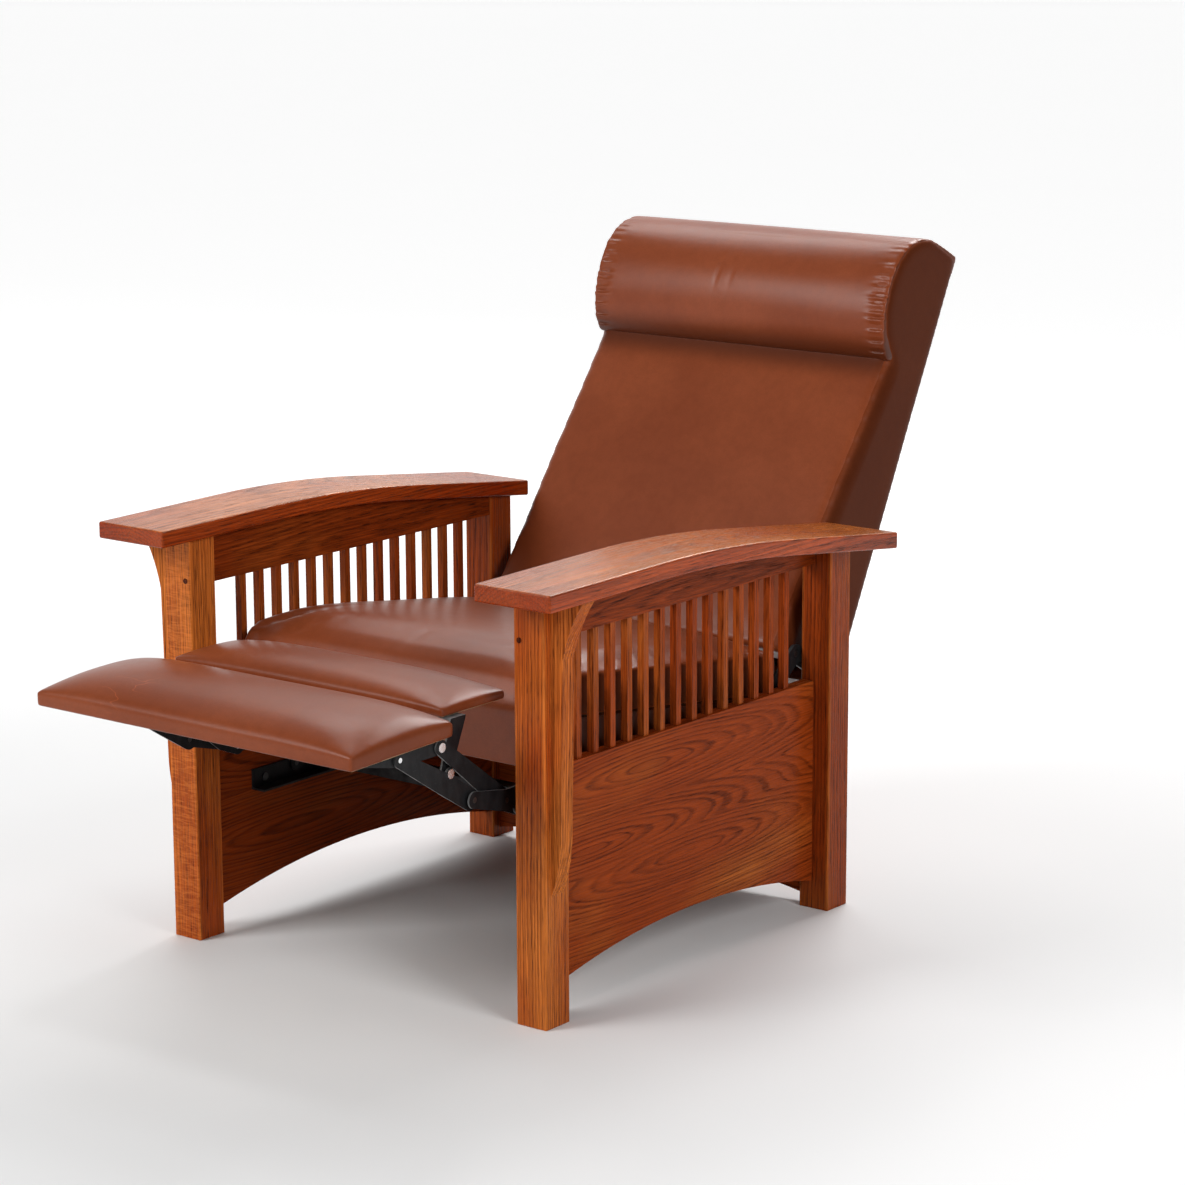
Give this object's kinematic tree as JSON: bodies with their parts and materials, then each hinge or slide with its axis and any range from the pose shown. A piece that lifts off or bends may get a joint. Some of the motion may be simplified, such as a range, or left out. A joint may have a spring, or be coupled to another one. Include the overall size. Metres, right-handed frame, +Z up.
{
  "type": "recliner",
  "caption": "Mission-style reclining armchair with bowed arms on square posts, spindled sides, leather cushions, a head roll and a fold-out footrest on steel links",
  "frame": {"origin": "On the floor, in the middle of the box that the open chair fills.", "axes": "+X is the chair's right as seen from in front of it, +Y points to the back, +Z is up. The chair faces -Y."},
  "size_m": [0.817, 1.4136, 0.962],
  "materials": {
    "oak": "satin stained oak",
    "hidden_wood": "raw hardwood and plywood",
    "leather": "semi-gloss chestnut brown leather",
    "black_steel": "gloss black enamel",
    "rivet_steel": "zinc plated",
    "spring_steel": "oiled wire",
    "webbing": "woven elastic webbing"
  },
  "bodies": {
    "frame": {"arm_left": "oak", "arm_right": "oak", "front_leg_left": "oak", "front_leg_right": "oak", "back_leg_left": "oak", "back_leg_right": "oak", "upper_rail_left": "oak", "upper_rail_right": "oak", "side_panel_left": "oak", "side_panel_right": "oak", "spindles_left": "oak", "spindles_right": "oak", "corbel_left": "oak", "corbel_right": "oak", "base_rail_left": "black_steel", "base_rail_right": "black_steel", "rear_panel": "oak", "leg_pegs": "oak", "base_tubes": "black_steel", "base_screws": "rivet_steel", "base_pins": "rivet_steel"},
    "front_swing": {"swing_links_front": "black_steel"},
    "rear_swing": {"swing_links_rear": "black_steel"},
    "seat": {"seat_side_rail_left": "hidden_wood", "seat_side_rail_right": "hidden_wood", "seat_plate_left": "black_steel", "seat_plate_right": "black_steel", "link_plate_left": "black_steel", "link_plate_right": "black_steel", "seat_front_rail": "hidden_wood", "seat_rear_rail": "hidden_wood", "seat_springs": "spring_steel", "seat_band": "leather", "seat_cushion": "leather", "seat_pins": "rivet_steel"},
    "back": {"back_border_left": "leather", "back_border_right": "leather", "back_cushion": "leather", "head_roll": "leather", "outside_back": "leather", "back_posts": "hidden_wood", "back_rails": "hidden_wood", "back_straps": "webbing", "back_bottom_rail": "hidden_wood", "hinge_arms": "black_steel", "hinge_arm_screws": "rivet_steel"},
    "front_link": {"front_links": "black_steel", "torque_tube": "black_steel", "front_link_pins": "rivet_steel"},
    "rear_link": {"rear_links": "black_steel"},
    "upper_link": {"upper_links": "black_steel", "upper_link_pins": "rivet_steel"},
    "lower_link": {"lower_links": "black_steel", "lower_link_pins": "rivet_steel"},
    "footrest": {"footrest_pad": "leather", "footrest_board": "hidden_wood", "footrest_brackets": "black_steel"},
    "middle_rest": {"middle_pad": "leather", "middle_board": "hidden_wood", "middle_brackets": "black_steel"}
  },
  "joints": [
    {"name": "back_recline", "type": "hinge", "parent": "seat", "child": "back", "pos_m": [0, 0.26, 0.385], "axis": [-1, 0, 0], "range_deg": [-17, 13]},
    {"name": "front_swing", "type": "hinge", "parent": "frame", "child": "front_swing", "pos_m": [0, -0.19, 0.222], "axis": [1, 0, 0], "range_deg": [-13.7, 10.5]},
    {"name": "seat_ride", "type": "hinge", "parent": "front_swing", "child": "seat", "pos_m": [0, -0.19, 0.292], "axis": [1, 0, 0], "range_deg": [-10.5, 13.7]},
    {"name": "rear_swing", "type": "hinge", "parent": "frame", "child": "rear_swing", "pos_m": [0, 0.13, 0.222], "axis": [1, 0, 0], "range_deg": [-13.7, 10.5]},
    {"name": "footrest_fold", "type": "hinge", "parent": "seat", "child": "front_link", "pos_m": [0, -0.248, 0.314], "axis": [1, 0, 0], "range_deg": [0, 114]},
    {"name": "rear_link_turn", "type": "hinge", "parent": "seat", "child": "rear_link", "pos_m": [0, -0.218, 0.295], "axis": [1, 0, 0], "range_deg": [0, 114.1]},
    {"name": "upper_link_turn", "type": "hinge", "parent": "front_link", "child": "upper_link", "pos_m": [0, -0.379, 0.302], "axis": [1, 0, 0], "range_deg": [-122.3, 0]},
    {"name": "lower_link_turn", "type": "hinge", "parent": "front_link", "child": "lower_link", "pos_m": [0, -0.446, 0.317], "axis": [1, 0, 0], "range_deg": [-122, 0]},
    {"name": "footrest_turn", "type": "hinge", "parent": "upper_link", "child": "footrest", "pos_m": [0, -0.504, 0.4], "axis": [1, 0, 0], "range_deg": [0, 96.1]},
    {"name": "middle_rest_turn", "type": "hinge", "parent": "lower_link", "child": "middle_rest", "pos_m": [0, -0.487, 0.361], "axis": [1, 0, 0], "range_deg": [0, 83.3]}
  ],
  "couplings": [
    {"joint": "front_swing", "follows": "back_recline", "ratio": 0.8},
    {"joint": "seat_ride", "follows": "back_recline", "ratio": -0.8},
    {"joint": "rear_swing", "follows": "back_recline", "ratio": 0.8},
    {"joint": "rear_link_turn", "follows": "footrest_fold", "ratio": 1.0005},
    {"joint": "upper_link_turn", "follows": "footrest_fold", "ratio": -1.0726},
    {"joint": "lower_link_turn", "follows": "footrest_fold", "ratio": -1.0695},
    {"joint": "footrest_turn", "follows": "footrest_fold", "ratio": 0.84272},
    {"joint": "middle_rest_turn", "follows": "footrest_fold", "ratio": 0.73}
  ]
}
